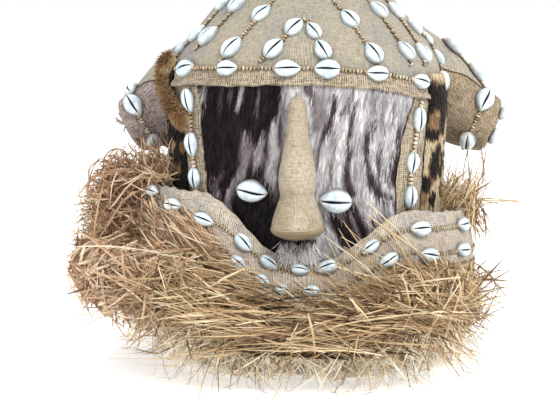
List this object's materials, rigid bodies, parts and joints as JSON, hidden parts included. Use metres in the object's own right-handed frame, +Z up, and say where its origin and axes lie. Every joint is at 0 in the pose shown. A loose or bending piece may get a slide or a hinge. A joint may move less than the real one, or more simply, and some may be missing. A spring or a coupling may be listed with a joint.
{
  "type": "helmet mask",
  "caption": "Helmet mask of raffia cloth with a curved trunk on the crown, barrel ears, a hide face, a wedge nose, cowrie shells in rows and a raffia ruff.",
  "frame": {"origin": "middle of the footprint, on the surface that the rim and the ruff stand on", "axes": "+Z up; the face looks along -Y and +X is on the viewer's right"},
  "size_m": [0.424, 0.43, 0.5032],
  "materials": {
    "raffia_cloth": "matte",
    "nose_cloth": "matte",
    "hide": "matte",
    "leopard_fur": "matte",
    "cowrie": "gloss",
    "raffia_straw": "matte"
  },
  "bodies": {
    "root": {"hood": "raffia_cloth", "face_hide": "hide", "brow_band": "raffia_cloth", "side_band_left": "raffia_cloth", "leopard_cheek_left": "leopard_fur", "side_band_right": "raffia_cloth", "leopard_cheek_right": "leopard_fur", "nose": "nose_cloth", "chin_band": "raffia_cloth", "raffia_ruff": "raffia_straw", "ear_left": "raffia_cloth", "ear_right": "raffia_cloth", "eye_cowrie_left": "cowrie", "eye_cowrie_right": "cowrie", "brow_cowrie_1": "cowrie", "brow_cowrie_2": "cowrie", "brow_cowrie_3": "cowrie", "brow_cowrie_4": "cowrie", "brow_cowrie_5": "cowrie", "brow_cowrie_6": "cowrie", "brow_cowrie_7": "cowrie", "side_cowrie_left_1": "cowrie", "side_cowrie_left_2": "cowrie", "side_cowrie_left_3": "cowrie", "side_cowrie_right_1": "cowrie", "side_cowrie_right_2": "cowrie", "side_cowrie_right_3": "cowrie", "chin_cowrie_upper_1": "cowrie", "chin_cowrie_upper_2": "cowrie", "chin_cowrie_upper_3": "cowrie", "chin_cowrie_upper_4": "cowrie", "chin_cowrie_upper_5": "cowrie", "chin_cowrie_upper_6": "cowrie", "chin_cowrie_upper_7": "cowrie", "chin_cowrie_upper_8": "cowrie", "chin_cowrie_upper_9": "cowrie", "chin_cowrie_upper_10": "cowrie", "chin_cowrie_lower_1": "cowrie", "chin_cowrie_lower_2": "cowrie", "chin_cowrie_lower_3": "cowrie", "chin_cowrie_lower_4": "cowrie", "chin_cowrie_lower_5": "cowrie", "chin_cowrie_lower_6": "cowrie", "chin_cowrie_lower_7": "cowrie", "chin_cowrie_lower_8": "cowrie", "ear_cowrie_left_1": "cowrie", "ear_cowrie_left_2": "cowrie", "ear_cowrie_left_3": "cowrie", "ear_cowrie_left_4": "cowrie", "ear_cowrie_right_1": "cowrie", "ear_cowrie_right_2": "cowrie", "ear_cowrie_right_3": "cowrie", "ear_cowrie_right_4": "cowrie", "hood_cowrie_1": "cowrie", "hood_cowrie_2": "cowrie", "hood_cowrie_3": "cowrie", "hood_cowrie_4": "cowrie", "hood_cowrie_5": "cowrie", "hood_cowrie_6": "cowrie"}
  },
  "joints": []
}
